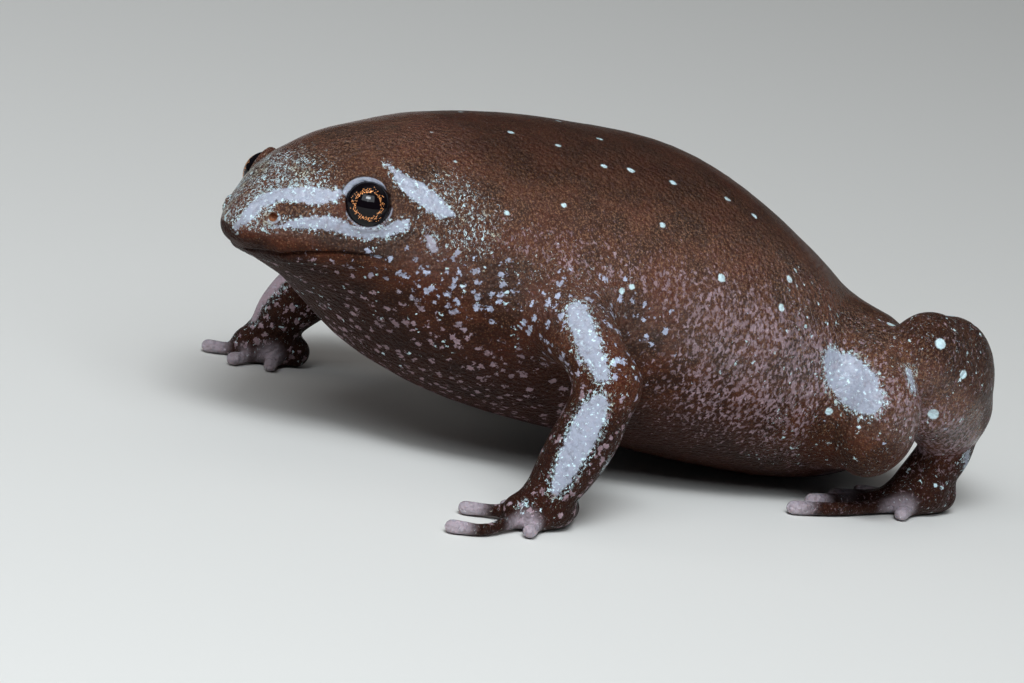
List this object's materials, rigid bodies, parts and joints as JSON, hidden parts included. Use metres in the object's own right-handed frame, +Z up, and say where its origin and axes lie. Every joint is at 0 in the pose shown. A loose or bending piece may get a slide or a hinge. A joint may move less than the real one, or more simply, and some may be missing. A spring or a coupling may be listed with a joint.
{
  "type": "rio elongated frog",
  "caption": "Still life-size model of a stout, short-legged forest frog sitting with its pointed snout raised: glossy brown skin flecked bluish white, small dark eyes.",
  "frame": {"origin": "on the surface that the frog rests on, under the middle of its box", "axes": "+Z up, +Y towards the vent, so the snout points to -Y, and the frog's left side is +X"},
  "size_m": [0.0228, 0.0306, 0.0125],
  "materials": {
    "skin": "moist, finely pebbled reddish-brown frog skin with bluish-white flecks, blotches and stripes",
    "digit_skin": "thin moist skin, grey-brown with bluish-white flecks, paling to pinkish grey at the digit tips",
    "eye": "wet glossy black eye with a ring of copper and gold flecks round the pupil"
  },
  "bodies": {
    "root": {"torso": "skin", "head": "skin", "lower_jaw": "skin", "upper_arm_left": "skin", "forearm_left": "skin", "upper_arm_right": "skin", "forearm_right": "skin", "thigh_left": "skin", "shank_left": "skin", "thigh_right": "skin", "shank_right": "skin", "hand_left": "digit_skin", "hand_right": "digit_skin", "foot_left": "digit_skin", "foot_right": "digit_skin", "eye_left": "eye", "eye_right": "eye"}
  },
  "joints": []
}
